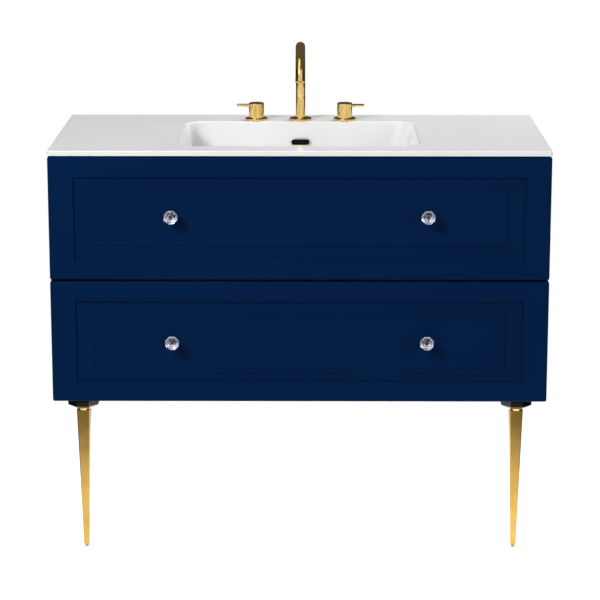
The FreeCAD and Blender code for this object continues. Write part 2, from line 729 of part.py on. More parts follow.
def tap_nut(x):
    nut = hexagon(32.0, at_tap(x, 0), SLAB_BOTTOM - TAP_NUT, SLAB_BOTTOM)
    return without(nut, [rod(THREAD_R, at_tap(x, SLAB_BOTTOM - 20.0), at_tap(x, SLAB_BOTTOM + 1))])


def handle_hub():
    hub = rod(HUB_R, at_tap(TAP_SPACING, HUB_BOTTOM), at_tap(TAP_SPACING, RIM_Z + HUB_TOP))
    hub = hub.makeFillet(1.2, edges_at(hub, "Z", RIM_Z + HUB_TOP))
    bore_top = RIM_Z + VALVE_NECK + 0.4
    bore = rod(NECK_R + RUNNING_FIT, at_tap(TAP_SPACING, HUB_BOTTOM), at_tap(TAP_SPACING, bore_top))
    return without(hub, [bore, lever()])


def lever():
    start = at_tap(TAP_SPACING + HUB_R - LEVER_ROOT, RIM_Z + LEVER_Z)
    end = at_tap(TAP_SPACING + LEVER_REACH, RIM_Z + LEVER_Z)
    bar = rod(LEVER_R, start, end)
    return bar.makeFillet(0.8, edges_at(bar, "X", end.x))


def spout_path(outlet_z):
    """Up from the deck, over a half circle and down to the outlet."""
    crown = RIM_Z + SPOUT_RISE
    tip_y = TAP_Y - 2.0 * SPOUT_ARC
    rise = Part.makeLine(at_tap(0, HUB_BOTTOM), at_tap(0, crown))
    top = vec(0, TAP_Y - SPOUT_ARC, crown + SPOUT_ARC)
    arc = Part.Arc(at_tap(0, crown), top, vec(0, tip_y, crown)).toShape()
    drop = Part.makeLine(vec(0, tip_y, crown), vec(0, tip_y, outlet_z))
    return Part.Wire([rise, arc, drop])


def spout():
    path = spout_path(RIM_Z + OUTLET_Z + AERATOR)
    solids = []
    for radius in (SPOUT_R, SHANK_R + RUNNING_FIT):
        profile = Part.Wire([Part.makeCircle(radius, at_tap(0, HUB_BOTTOM), vec(0, 0, 1))])
        solids.append(path.makePipeShell([profile], True, True))
    return without(solids[0], [solids[1]])


def aerator():
    tip_y = TAP_Y - 2.0 * SPOUT_ARC
    low = vec(0, tip_y, RIM_Z + OUTLET_Z)
    collar = tube(SPOUT_R + 0.3, 7.5, low, low + vec(0, 0, AERATOR))
    insert = rod(7.5, low + vec(0, 0, 1.5), low + vec(0, 0, AERATOR))
    return joined(collar, insert)


# ---- Drawers ----

FRONT_ROUND = 4.0
SCREW_HOLE_R = 2.5
KNOB_SCREW_R = 2.0
KNOB_CUP_FRONT = 10.5  # in front of the fronts' face


def drawer_front(drawer):
    """A board with round outer edges, a sunk band and a raised centre panel."""
    low = drawer[1]
    high = low + FRONT_HEIGHT
    board = box(-WIDTH / 2.0, WIDTH / 2.0, 0, FRONT_THICK, low, high)
    board = board.makeFillet(FRONT_ROUND, edges_along(board, vec(0, 1, 0)))
    board = board.makeFillet(FRONT_ROUND - 0.1, edges_at(board, "Y", 0.0))
    band_lean = CUTTER_DRAFT * BAND_DEPTH
    frame = (FRAME_SIDE, FRAME_TOP)
    sunk = milled(drawer, (0.0, *frame), (BAND_DEPTH, FRAME_SIDE + band_lean, FRAME_TOP + band_lean))
    panel_lean = CUTTER_DRAFT * (BAND_DEPTH - PANEL_DEPTH)
    panel = (PANEL_SIDE, PANEL_TOP)
    foot = (BAND_DEPTH, PANEL_SIDE - panel_lean, PANEL_TOP - panel_lean)
    raised = milled(drawer, (PANEL_DEPTH, *panel), foot)
    board = without(board, [without(sunk, [raised])])
    return without(board, pair(knob_screw(drawer)))


def milled(drawer, *levels):
    """A block between upright rectangles, each a depth and its insets from the front's sides and
    from its top and bottom."""
    low = drawer[1]
    wires = []
    for depth, side, end in levels:
        wires.append(rectangle(WIDTH / 2.0 - side, depth, low + end, low + FRONT_HEIGHT - end))
    return Part.makeLoft(wires, True, True)


def knob_z(drawer):
    return drawer[1] + KNOB_ABOVE_FRONT_BOTTOM[1 if drawer is UPPER else 0]


def at_knob(drawer, y):
    return vec(KNOB_X, y, knob_z(drawer))


def knob_screw(drawer):
    """Clear path of the knob's screw through the front."""
    return rod(SCREW_HOLE_R, at_knob(drawer, -1.0), at_knob(drawer, FRONT_THICK + 1.0))


def knob_base(drawer):
    """Rosette, neck and cup, with the screw that holds the knob from inside the drawer."""
    face = PANEL_DEPTH
    rosette_disc = rod(7.5, at_knob(drawer, face - 2.5), at_knob(drawer, face))
    neck = cone(5.5, 4.2, at_knob(drawer, face - 2.5), at_knob(drawer, -7.0))
    cup = cone(4.2, 8.2, at_knob(drawer, -7.0), at_knob(drawer, -KNOB_CUP_FRONT))
    screw_end = FRONT_THICK + 3.0
    screw = rod(KNOB_SCREW_R, at_knob(drawer, -17.0), at_knob(drawer, screw_end))
    head = rod(4.5, at_knob(drawer, FRONT_THICK), at_knob(drawer, screw_end))
    return joined(rosette_disc, neck, cup, screw, head)


def knob_crystal(drawer):
    """A cut crystal: small back, wide girdle, sloping crown facets and a flat table in front."""
    corner = CRYSTAL_WIDTH / 2.0 / math.cos(math.pi / 8.0)
    rings = (
        (8.6, KNOB_CUP_FRONT, True),
        (corner - 1.0, 15.5, False),
        (corner, 19.0, False),
        (corner * 0.86, 24.0, True),
        (corner * 0.52, KNOB_REACH, False),
    )
    crystal = cut_crystal(rings)
    crystal.rotate(vec(0, 0, 0), vec(1, 0, 0), 90)
    crystal.translate(at_knob(drawer, 0.0))
    return without(crystal, [rod(KNOB_SCREW_R, at_knob(drawer, -17.0), at_knob(drawer, -10.0))])


def drawer_side(drawer):
    return box(DRAWER_INNER, DRAWER_OUTER, FRONT_THICK, DRAWER_BACK, drawer[2], drawer[3])


def drawer_bottom(drawer):
    low = drawer[2]
    board = box(-DRAWER_INNER, DRAWER_INNER, FRONT_THICK, DRAWER_BACK, low, low + DRAWER_BOARD)
    if drawer is UPPER:
        well = box(-WELL_X, WELL_X, WELL_FRONT, DRAWER_BACK, low, low + DRAWER_BOARD)
        board = without(board, [well])
    return board


def drawer_back(drawer):
    low = drawer[2] + DRAWER_BOARD
    y0 = DRAWER_BACK - DRAWER_BOARD
    if drawer is UPPER:
        return pair(box(WELL_X + DRAWER_BOARD, DRAWER_INNER, y0, DRAWER_BACK, low, drawer[3]))
    return [box(-DRAWER_INNER, DRAWER_INNER, y0, DRAWER_BACK, low, drawer[3])]


def drawer_well():
    """Three boards around the trap, open towards the wall."""
    low = UPPER[2] + DRAWER_BOARD
    outside = WELL_X + DRAWER_BOARD
    cheek = box(WELL_X, outside, WELL_FRONT, DRAWER_BACK, low, UPPER[3])
    end = box(-outside, outside, WELL_FRONT - DRAWER_BOARD, WELL_FRONT, low, UPPER[3])
    return pair(cheek) + [end]


def channel(web_x, lip_x, half_height, middle_z, sheet):
    """A rolled C section along Y: its web at one X and its lips reaching to the other."""
    x0, x1 = sorted((web_x, lip_x))
    back = RUNNER_FRONT + RUNNER_LENGTH
    outer = box(x0, x1, RUNNER_FRONT, back, middle_z - half_height, middle_z + half_height)
    inside = half_height - sheet
    if lip_x < web_x:
        hollow = box(x0, x1 - sheet, RUNNER_FRONT, back, middle_z - inside, middle_z + inside)
    else:
        hollow = box(x0 + sheet, x1, RUNNER_FRONT, back, middle_z - inside, middle_z + inside)
    return without(outer, [hollow])


def runner_rail(drawer):
    return channel(SIDE_INNER, DRAWER_OUTER + 1.5, 22.5, drawer[4], RUNNER_SHEET)


def runner_middle(drawer):
    return channel(SIDE_INNER - 2.2, DRAWER_OUTER + 1.8, 19.5, drawer[4], RUNNER_SHEET)


def runner_slide(drawer):
    return channel(DRAWER_OUTER, SIDE_INNER - 4.4, 16.5, drawer[4], RUNNER_SHEET)


# ---- Write the sub-parts ----


def save_cabinet():
    save("side_panel_right", side_panel())
    save("side_panel_left", mirrored(side_panel()))
    save("bottom_panel", bottom_panel())
    save("front_rail", front_rail())
    save("rear_top_rail", rear_top_rail())
    save("rear_bottom_rail", rear_bottom_rail())
    save("cam_locks", *cam_locks())
    save("hangers", *pair(hanger()))
    save("hanger_hooks", *pair(hanger_hook()))
    save("wall_plates", *pair(wall_plate()))


def save_legs():
    save("leg_right", leg())
    save("leg_left", mirrored(leg()))
    save("leg_rings", *pair(leg_ring()))
    save("crystal_collars", *pair(crystal_collar()))
    save("leg_studs", *pair(leg_stud()))
    save("leg_plates", *pair(leg_plate()))
    save("leg_plate_screws", *plate_screws())
    save("foot_glides", *pair(foot_glide()))


def save_basin():
    save("washbasin", washbasin())
    save("overflow_trim", overflow_trim())
    save("overflow_duct", overflow_duct())
    save("waste_body", waste_body())
    save("waste_seal", waste_seal())
    save("waste_nut", waste_nut())
    save("waste_plug", waste_plug())
    save("trap_inlet", trap_inlet())
    save("trap_nuts", *trap_nuts())
    save("trap_body", trap_body())
    save("trap_cup", trap_cup())
    save("trap_outlet", trap_outlet())


def save_taps():
    rosettes = [rosette(x, NECK_R) for x in (-TAP_SPACING, TAP_SPACING)]
    save("tap_rosettes", rosette(0.0, SHANK_R), *rosettes)
    save("tap_valves", *pair(valve()))
    save("spout_shank", spout_shank())
    save("link_tubes", *pair(link_tube()))
    save("tap_nuts", *[tap_nut(x) for x in (-TAP_SPACING, 0.0, TAP_SPACING)])
    save("handle_right", handle_hub())
    save("handle_left", mirrored(handle_hub()))
    save("lever_right", lever())
    save("lever_left", mirrored(lever()))
    save("spout", spout())
    save("spout_aerator", aerator())


def save_drawer(drawer):
    name = drawer[0]
    save(f"{name}_front", drawer_front(drawer))
    save(f"{name}_drawer_sides", *pair(drawer_side(drawer)))
    save(f"{name}_drawer_bottom", drawer_bottom(drawer))
    save(f"{name}_drawer_back", *drawer_back(drawer))
    save(f"{name}_knob_bases", *pair(knob_base(drawer)))
    save(f"{name}_knob_crystals", *pair(knob_crystal(drawer)))
    save(f"{name}_runner_rails", *pair(runner_rail(drawer)))
    save(f"{name}_runner_middles", *pair(runner_middle(drawer)))
    save(f"{name}_runner_slides", *pair(runner_slide(drawer)))


os.makedirs("parts", exist_ok=True)
save_cabinet()
save_legs()
save_basin()
save_taps()
save_drawer(LOWER)
save_drawer(UPPER)
save("upper_drawer_well", *drawer_well())
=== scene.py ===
import math

import bmesh
import bpy
from mathutils import Matrix, Vector


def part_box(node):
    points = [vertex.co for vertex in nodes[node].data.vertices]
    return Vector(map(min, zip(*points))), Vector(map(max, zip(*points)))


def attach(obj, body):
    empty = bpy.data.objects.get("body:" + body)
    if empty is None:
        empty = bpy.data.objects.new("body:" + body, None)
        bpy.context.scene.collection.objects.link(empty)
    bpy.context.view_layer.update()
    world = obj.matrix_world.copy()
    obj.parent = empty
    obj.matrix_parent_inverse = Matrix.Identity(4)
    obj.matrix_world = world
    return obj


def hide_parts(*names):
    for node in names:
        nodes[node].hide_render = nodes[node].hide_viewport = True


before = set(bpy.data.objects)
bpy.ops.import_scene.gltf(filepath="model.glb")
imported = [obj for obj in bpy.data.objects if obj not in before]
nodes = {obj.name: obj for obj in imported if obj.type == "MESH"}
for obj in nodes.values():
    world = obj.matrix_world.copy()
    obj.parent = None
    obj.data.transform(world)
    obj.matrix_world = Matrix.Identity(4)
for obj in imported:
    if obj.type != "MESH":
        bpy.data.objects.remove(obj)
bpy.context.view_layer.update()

# Looks of a bathroom vanity cabinet. Metres, +X right, +Y to the wall, +Z up. The CAD nodes keep their
# places; places of added pieces are worked out from the nodes' boxes.

scene = bpy.context.scene
MM = 0.001

# ---- Camera ----

CAMERA_PLACE = (0.024, -4.341, 1.577)
CAMERA_TILT = 12.07  # degrees below the horizon
CAMERA_YAW = 0.32  # degrees towards -X
CAMERA_LENS = 127.2
CAMERA_SHIFT = -0.12


def make_camera():
    data = bpy.data.cameras.new("camera")
    data.lens = CAMERA_LENS
    data.sensor_width = 36.0
    data.shift_y = CAMERA_SHIFT
    camera = bpy.data.objects.new("camera", data)
    camera.location = CAMERA_PLACE
    camera.rotation_euler = (math.radians(90.0 - CAMERA_TILT), 0.0, math.radians(CAMERA_YAW))
    scene.collection.objects.link(camera)
    scene.camera = camera


# ---- Node trees ----


class Tree:
    """Short ways to add and link the nodes of a material or of the world."""

    def __init__(self, owner):
        owner.use_nodes = True
        self.tree = owner.node_tree

    def add(self, kind, **settings):
        node = self.tree.nodes.new(kind)
        for key, value in settings.items():
            setattr(node, key, value)
        return node

    def link(self, source, target):
        self.tree.links.new(source, target)


class Finish(Tree):
    """A Principled material whose patterns are set out in each object's own coordinates."""

    def __init__(self, name, **sockets):
        self.material = bpy.data.materials.new(name)
        super().__init__(self.material)
        self.shader = self.tree.nodes["Principled BSDF"]
        self.place = self.add("ShaderNodeTexCoord").outputs["Object"]
        self.normal = None
        for socket, value in sockets.items():
            self.shader.inputs[socket.replace("_", " ")].default_value = value

    def stretched(self, scale, turned=(0, 0, 0)):
        mapping = self.add("ShaderNodeMapping")
        mapping.inputs["Scale"].default_value = scale
        mapping.inputs["Rotation"].default_value = turned
        self.link(self.place, mapping.inputs["Vector"])
        return mapping.outputs["Vector"]

    def noise(self, scale, detail=2.0, roughness=0.5, vector=None):
        node = self.add("ShaderNodeTexNoise")
        node.inputs["Scale"].default_value = scale
        node.inputs["Detail"].default_value = detail
        node.inputs["Roughness"].default_value = roughness
        self.link(vector or self.place, node.inputs["Vector"])
        return node.outputs["Fac"]

    def ramp(self, factor, *stops):
        node = self.add("ShaderNodeValToRGB")
        elements = node.color_ramp.elements
        while len(elements) < len(stops):
            elements.new(0.5)
        for element, (at, colour) in zip(elements, stops):
            element.position = at
            element.color = (*colour, 1.0)
        self.link(factor, node.inputs["Fac"])
        return node.outputs["Color"]

    def span(self, factor, low, high, start=0.3, end=0.7):
        node = self.add("ShaderNodeMapRange")
        for socket, value in (("From Min", start), ("From Max", end), ("To Min", low), ("To Max", high)):
            node.inputs[socket].default_value = value
        self.link(factor, node.inputs["Value"])
        return node.outputs["Result"]

    def colour(self, output):
        self.link(output, self.shader.inputs["Base Color"])

    def rough(self, output):
        self.link(output, self.shader.inputs["Roughness"])

    def bump(self, height, distance, strength=1.0):
        """Adds a relief of that depth in metres on top of those already added."""
        node = self.add("ShaderNodeBump")
        node.inputs["Distance"].default_value = distance
        node.inputs["Strength"].default_value = strength
        self.link(height, node.inputs["Height"])
        if self.normal is not None:
            self.link(self.normal, node.inputs["Normal"])
        self.normal = node.outputs["Normal"]
        self.link(self.normal, self.shader.inputs["Normal"])


# ---- Materials ----


def navy_lacquer():
    """Satin lacquer with a fine orange peel and slow changes of depth."""
    f = Finish("navy_lacquer", IOR=1.45, Specular_IOR_Level=0.05)
    f.colour(f.ramp(f.noise(3.0, 3.0), (0.3, (0.0001, 0.0100, 0.046)), (0.7, (0.0002, 0.0112, 0.050))))
    f.rough(f.span(f.noise(45.0, 3.0), 0.34, 0.42))
    f.bump(f.noise(260.0, 2.0), 0.00006)
    f.bump(f.noise(1500.0, 2.0), 0.000012)
    return f.material


# How much darker the inside of the bowl is painted, as painted shade.
BOWL_PAINTED_SHADE = 0.89
DECK_Z = 0.850
BOWL_EDGE_Y = -0.160


def glazed_white():
    """Gloss white moulding with a faint flow in the surface, and painted shade inside the bowl, where its
    colour is made darker.
    """
    f = Finish("glazed_white", IOR=1.5)
    glaze = f.ramp(f.noise(5.0, 3.0), (0.3, (0.675, 0.678, 0.675)), (0.7, (0.695, 0.697, 0.695)))
    parts = f.add("ShaderNodeSeparateXYZ")
    f.link(f.place, parts.inputs["Vector"])
    # Painted shade: below the deck and behind the bowl's front edge, the glaze colour is scaled down.
    above = f.span(parts.outputs["Z"], BOWL_PAINTED_SHADE, 1.0, DECK_Z - 0.0025, DECK_Z - 0.001)
    ahead = f.span(parts.outputs["Y"], 1.0, BOWL_PAINTED_SHADE, BOWL_EDGE_Y - 0.02, BOWL_EDGE_Y)
    level = f.add("ShaderNodeMath", operation="MAXIMUM")
    f.link(above, level.inputs[0])
    f.link(ahead, level.inputs[1])
    shade = f.add("ShaderNodeVectorMath", operation="SCALE")
    f.link(glaze, shade.inputs[0])
    f.link(level.outputs["Value"], shade.inputs["Scale"])
    f.colour(shade.outputs["Vector"])
    f.rough(f.span(f.noise(60.0, 3.0), 0.05, 0.09))
    f.bump(f.noise(28.0, 2.0), 0.00004)
    return f.material


def polished_gold(name="polished_gold", deep=(0.90, 0.60, 0.20), pale=(0.96, 0.68, 0.26)):
    """Plated gold with hairline polishing marks."""
    f = Finish(name, Metallic=1.0)
    f.colour(f.ramp(f.noise(30.0, 3.0), (0.3, deep), (0.7, pale)))
    f.rough(f.span(f.noise(160.0, 4.0), 0.055, 0.085))
    f.bump(f.noise(60.0, 2.0), 0.000005)
    f.bump(f.noise(1.0, 3.0, vector=f.stretched((4000, 4000, 350))), 0.0000005)
    return f.material


def cut_crystal(name, deep, pale):
    """Lead glass, clear or smoked, with faint ripples left by the polishing wheel."""
    f = Finish(name, IOR=1.56, Transmission_Weight=1.0)
    f.colour(f.ramp(f.noise(90.0, 2.0), (0.35, deep), (0.65, pale)))
    f.rough(f.span(f.noise(300.0, 2.0), 0.0, 0.02))
    f.bump(f.noise(160.0, 2.0), 0.00001)
    return f.material


def silver_foil():
    """The mirror lacquer on the back of a cut stone, a little crinkled."""
    f = Finish("silver_foil", Metallic=1.0)
    f.colour(f.ramp(f.noise(200.0, 3.0), (0.3, (0.80, 0.83, 0.95)), (0.7, (0.92, 0.93, 1.0))))
    f.rough(f.span(f.noise(500.0, 3.0), 0.28, 0.40))
    f.bump(f.noise(420.0, 3.0), 0.00006)
    return f.material


def polished_chrome():
    f = Finish("polished_chrome", Metallic=1.0)
    f.colour(f.ramp(f.noise(40.0, 2.0), (0.3, (0.78, 0.79, 0.80)), (0.7, (0.84, 0.845, 0.85))))
    f.rough(f.span(f.noise(220.0, 4.0), 0.05, 0.11))
    f.bump(f.noise(120.0), 0.000008)
    return f.material


def zinc_steel(name, grain_axis=None):
    """Zinc plate with its cloudy crystals, drawn out along the way that a rolled section ran."""
    f = Finish(name, Metallic=1.0)
    f.colour(f.ramp(f.noise(140.0, 4.0, 0.6), (0.3, (0.42, 0.44, 0.47)), (0.7, (0.62, 0.63, 0.64))))
    f.rough(f.span(f.noise(420.0, 3.0), 0.28, 0.46))
    if grain_axis is None:
        f.bump(f.noise(700.0, 3.0), 0.00002)
    else:
        scale = [2500.0, 2500.0, 2500.0]
        scale[grain_axis] = 40.0
        f.bump(f.noise(1.0, 2.0, vector=f.stretched(scale)), 0.00002)
    return f.material


def machined_brass():
    f = Finish("machined_brass", Metallic=1.0)
    f.colour(f.ramp(f.noise(80.0, 3.0), (0.3, (0.56, 0.38, 0.15)), (0.7, (0.72, 0.52, 0.24))))
    f.rough(f.span(f.noise(250.0, 3.0), 0.22, 0.36))
    f.bump(f.noise(1.0, 2.0, vector=f.stretched((30, 30, 3500))), 0.00003)
    return f.material


def moulded_plastic(name, dark, light, roughness, grain):
    f = Finish(name, IOR=1.5)
    f.colour(f.ramp(f.noise(20.0, 3.0), (0.3, dark), (0.7, light)))
    f.rough(f.span(f.noise(90.0, 3.0), roughness - 0.05, roughness + 0.05))
    f.bump(f.noise(grain, 3.0, 0.6), 0.00004)
    return f.material


def melamine():
    """Pale board with a pressed, slightly fibrous surface."""
    f = Finish("melamine", IOR=1.48)
    f.colour(f.ramp(f.noise(12.0, 4.0), (0.3, (0.56, 0.555, 0.54)), (0.7, (0.61, 0.605, 0.59))))
    f.rough(f.span(f.noise(150.0, 3.0), 0.42, 0.56))
    f.bump(f.noise(1.0, 3.0, 0.6, vector=f.stretched((120, 900, 900))), 0.00008)
    return f.material


def plywood(name, thickness_axis, grain_axis, start, layer):
    """Birch plywood. Its layers are stacked along one axis, so that edges show their stripes and
    faces show one veneer, with the grain along another axis."""
    f = Finish(name, IOR=1.45)
    axes = "XYZ"
    parts = f.add("ShaderNodeSeparateXYZ")
    f.link(f.place, parts.inputs["Vector"])
    depth = f.add("ShaderNodeMath", operation="SUBTRACT")
    f.link(parts.outputs[axes[thickness_axis]], depth.inputs[0])
    depth.inputs[1].default_value = start
    fold = f.add("ShaderNodeMath", operation="PINGPONG")
    f.link(depth.outputs["Value"], fold.inputs[0])
    fold.inputs[1].default_value = layer
    stripe = f.span(fold.outputs["Value"], 0.0, 1.0, 0.35 * layer, 0.65 * layer)
    stretch = [220.0, 220.0, 220.0]
    stretch[grain_axis] = 7.0
    fibres = f.noise(1.0, 5.0, 0.62, vector=f.stretched(stretch))
    pores, wood, pale = (0.50, 0.345, 0.205), (0.64, 0.48, 0.31), (0.70, 0.545, 0.37)
    veneer = f.ramp(fibres, (0.3, pores), (0.5, wood), (0.72, pale))
    cross = f.ramp(fibres, (0.3, (0.34, 0.21, 0.115)), (0.72, (0.50, 0.34, 0.20)))
    mix = f.add("ShaderNodeMix", data_type="RGBA")
    f.link(stripe, mix.inputs["Factor"])
    f.link(veneer, mix.inputs[6])
    f.link(cross, mix.inputs[7])
    f.colour(mix.outputs[2])
    f.rough(f.span(fibres, 0.42, 0.58))
    f.bump(fibres, 0.00012)
    return f.material


# ---- Giving the CAD nodes their materials ----


def give(material, *names):
    for name in names:
        nodes[name].data.materials[0] = material


def make_looks():
    return {
        "navy": navy_lacquer(),
        "white": glazed_white(),
        "gold": polished_gold(),
        "leg_gold": polished_gold("leg_gold", (0.58, 0.345, 0.075), (0.67, 0.43, 0.12)),
        "crystal": cut_crystal("cut_crystal", (0.88, 0.90, 0.97), (0.95, 0.96, 1.0)),
        "smoked": cut_crystal("smoked_crystal", (0.03, 0.055, 0.10), (0.06, 0.09, 0.15)),
        "foil": silver_foil(),
        "chrome": polished_chrome(),
        "zinc": zinc_steel("zinc_plate"),
        "rolled": zinc_steel("rolled_zinc", 1),
        "brass": machined_brass(),
        "trap": moulded_plastic("trap_plastic", (0.72, 0.72, 0.71), (0.78, 0.78, 0.77), 0.3, 500.0),
        "housing": moulded_plastic(
            "housing_plastic", (0.035, 0.035, 0.038), (0.05, 0.05, 0.053), 0.5, 1800.0
        ),
        "dark": moulded_plastic("dark_plastic", (0.006, 0.006, 0.006), (0.010, 0.010, 0.010), 0.6, 1800.0),
        "clear": moulded_plastic("bumper_plastic", (0.42, 0.42, 0.41), (0.5, 0.5, 0.49), 0.35, 1200.0),
        "rubber": moulded_plastic("seal_rubber", (0.018, 0.018, 0.018), (0.03, 0.03, 0.03), 0.75, 900.0),
        "board": melamine(),
    }


def finish_nodes(looks):
    give(looks["navy"], "side_panel_left", "side_panel_right", "upper_front", "lower_front")
    give(looks["white"], "washbasin")
    give(looks["leg_gold"], "leg_left", "leg_right")
    give(looks["gold"], "leg_rings", "tap_rosettes", "handle_left", "handle_right")
    give(looks["gold"], "lever_left", "lever_right", "spout", "spout_aerator", "waste_plug")
    give(looks["crystal"], "upper_knob_crystals", "lower_knob_crystals")
    give(looks["smoked"], "crystal_collars")
    give(looks["chrome"], "overflow_trim", "waste_body", "waste_nut", "upper_knob_bases", "lower_knob_bases")
    give(looks["zinc"], "cam_locks", "hanger_hooks", "wall_plates")
    give(looks["zinc"], "leg_plates", "leg_studs", "leg_plate_screws")
    give(looks["housing"], "hangers", "foot_glides")
    give(looks["dark"], "overflow_duct")
    give(looks["rubber"], "waste_seal")
    give(looks["trap"], "trap_inlet", "trap_nuts", "trap_body", "trap_cup", "trap_outlet")
    give(looks["brass"], "tap_valves", "spout_shank", "tap_nuts", "link_tubes")
    give(looks["board"], "bottom_panel", "front_rail", "rear_top_rail", "rear_bottom_rail")
    for drawer in ("upper", "lower"):
        low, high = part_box(f"{drawer}_drawer_sides")
        give(plywood(f"{drawer}_side_ply", 0, 1, low.x, 0.0015), f"{drawer}_drawer_sides")
        low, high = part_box(f"{drawer}_drawer_bottom")
        give(plywood(f"{drawer}_bottom_ply", 2, 0, low.z, 0.0012), f"{drawer}_drawer_bottom")
        low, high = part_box(f"{drawer}_drawer_back")
        give(plywood(f"{drawer}_back_ply", 1, 0, low.y, 0.0012), f"{drawer}_drawer_back")
        for part in ("rails", "middles", "slides"):
            give(looks["rolled"], f"{drawer}_runner_{part}")
    low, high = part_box("upper_drawer_well")
    give(plywood("well_ply", 0, 1, low.x, 0.0012), "upper_drawer_well")


# ---- Building meshes ----


def circle(radius, centre, axis, count=64, turned=0.0):
    """Points of a circle about an axis, X, Y or Z."""
    along = Vector(axis)
    side = Vector((0, 0, 1)) if abs(along.x) + abs(along.y) > 0.5 else Vector((1, 0, 0))
    up = along.cross(side)
    points = []
    for step in range(count):
        angle = 2.0 * math.pi * (step + turned) / count
        points.append(Vector(centre) + radius * (math.cos(angle) * side + math.sin(angle) * up))
    return points


class Shape:
    """Points and faces of one piece, gathered loft by loft."""

    def __init__(self):
        self.points = []
        self.faces = []

    def ring(self, points):
        start = len(self.points)
        self.points += [Vector(point) for point in points]
        return list(range(start, len(self.points)))

    def bridge(self, one, other):
        for here, after in zip(range(len(one)), list(range(1, len(one))) + [0]):
            self.faces.append((one[here], one[after], other[after], other[here]))

    def loft(self, rings, closed=False):
        """A skin over rings of equal counts, which ends in caps or joins up with its start."""
        rows = [self.ring(points) for points in rings]
        for one, other in zip(rows, rows[1:]):
            self.bridge(one, other)
        if closed:
            self.bridge(rows[-1], rows[0])
        else:
            self.faces.append(tuple(reversed(rows[0])))
            self.faces.append(tuple(rows[-1]))

    def lathe(self, profile, origin, axis, count=64, closed=False):
        """A turned form from pairs of radius and distance along the axis, in millimetres."""
        rings = []
        for radius, distance in profile:
            centre = Vector(origin) + Vector(axis) * distance * MM
            rings.append(circle(radius * MM, centre, axis, count))
        self.loft(rings, closed)

    def facets(self, low, high):
        """Triangles between two rings, the second of them turned by half a side."""
        for here, after in zip(range(len(low)), list(range(1, len(low))) + [0]):
            self.faces.append((low[here], low[after], high[here]))
            self.faces.append((high[here], low[after], high[after]))

    def piece(self, name, body, slot, material, smooth=35.0):
        mesh = bpy.data.meshes.new(name)
        mesh.from_pydata(self.points, [], self.faces)
        bm = bmesh.new()
        bm.from_mesh(mesh)
        bmesh.ops.recalc_face_normals(bm, faces=bm.faces)
        bm.to_mesh(mesh)
        bm.free()
        mesh.materials.append(material)
        mesh.shade_smooth()
        mesh.set_sharp_from_angle(angle=math.radians(smooth))
        made = bpy.data.objects.new(name, mesh)
        scene.collection.objects.link(made)
        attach(made, body)
        return made


def rounded(outer, inner, low, high, edge, steps=4):
    """A closed ring profile for lathe(), with both outer corners rounded."""
    profile = [(inner, low)]
    for centre, start in ((low + edge, -90.0), (high - edge, 0.0)):
        for step in range(steps + 1):
            angle = math.radians(start + 90.0 * step / steps)
            profile.append((outer - edge + edge * math.cos(angle), centre + edge * math.sin(angle)))
    profile.append((inner, high))
    return profile


# ---- Drawer fronts ----

FRONT_ROUND = 4.0
FRAME_INSET = (50.0, 41.0)  # of the milled band, from the sides and from the top and bottom
PANEL_INSET = (87.0, 70.5)
BAND_DEPTH = 4.0
PANEL_DEPTH = 2.0
CORNER_STEPS = 6


def front_ring(low, high, inset_x, inset_z, corner, depth):
    """An upright round-cornered rectangle in a front, insets and depth in millimetres."""
    x = (high.x - low.x) / 2.0 - inset_x * MM - corner * MM
    z0 = low.z + (inset_z + corner) * MM
    z1 = high.z - (inset_z + corner) * MM
    points = []
    for quarter, (cx, cz) in enumerate(((x, z1), (-x, z1), (-x, z0), (x, z0))):
        for step in range(CORNER_STEPS + 1):
            angle = math.radians(90.0 * (quarter + step / CORNER_STEPS))
            px = cx + corner * MM * math.cos(angle)
            pz = cz + corner * MM * math.sin(angle)
            points.append((px, low.y + depth * MM, pz))
    return points


def front_profile(thick):
    """Inset from the sides, inset from the ends, corner radius and depth, from the back forwards."""
    rows = [(0.6, 0.6, FRONT_ROUND - 0.6, thick), (0.0, 0.0, FRONT_ROUND, thick - 0.6)]
    for step in range(9):
        angle = math.radians(90.0 * step / 8)
        inset = FRONT_ROUND * (1.0 - math.cos(angle))
        rows.append((inset, inset, FRONT_ROUND - inset + 0.01, FRONT_ROUND * (1.0 - math.sin(angle))))
    for inset, depths in ((FRAME_INSET, (0.0, BAND_DEPTH)), (PANEL_INSET, (BAND_DEPTH, PANEL_DEPTH))):
        rows += milled_step(inset, *depths)
    return rows


def milled_step(inset, start, end):
    """A steep step between two depths, with its high edge eased and its foot left by a round cutter."""
    down = 1.0 if end > start else -1.0
    ease_start, ease_end = (0.5, 0.35) if down > 0 else (0.35, 0.5)
    rows = []
    for shift, depth in (
        (-ease_start, start),
        (-0.3 * ease_start, start + 0.12 * down),
        (0.0, start + ease_start * down),
        (0.12, end - ease_end * down),
        (0.12 + 0.3 * ease_end, end - 0.12 * down),
        (0.12 + ease_end, end),
    ):
        rows.append((inset[0] + shift, inset[1] + shift, 0.4, depth))
    return rows


def drawer_front(drawer, material):
    low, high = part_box(f"{drawer}_front")
    shape = Shape()
    thick = (high.y - low.y) / MM
    shape.loft([front_ring(low, high, *row) for row in front_profile(thick)])
    front = shape.piece(f"{drawer}_panelled_front", f"{drawer}_drawer", "navy_paint", material, 30.0)
    weighted = front.modifiers.new("flat_faces", "WEIGHTED_NORMAL")
    weighted.keep_sharp = True
    weighted.weight = 80
    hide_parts(f"{drawer}_front")
    return front


BUMPER_X = 0.491
BUMPER_FROM_END = 0.014
BUMPER_PROFILE = [(4.5, 0.0), (4.5, 0.8), (4.0, 1.4), (2.8, 1.75), (1.0, 1.8)]


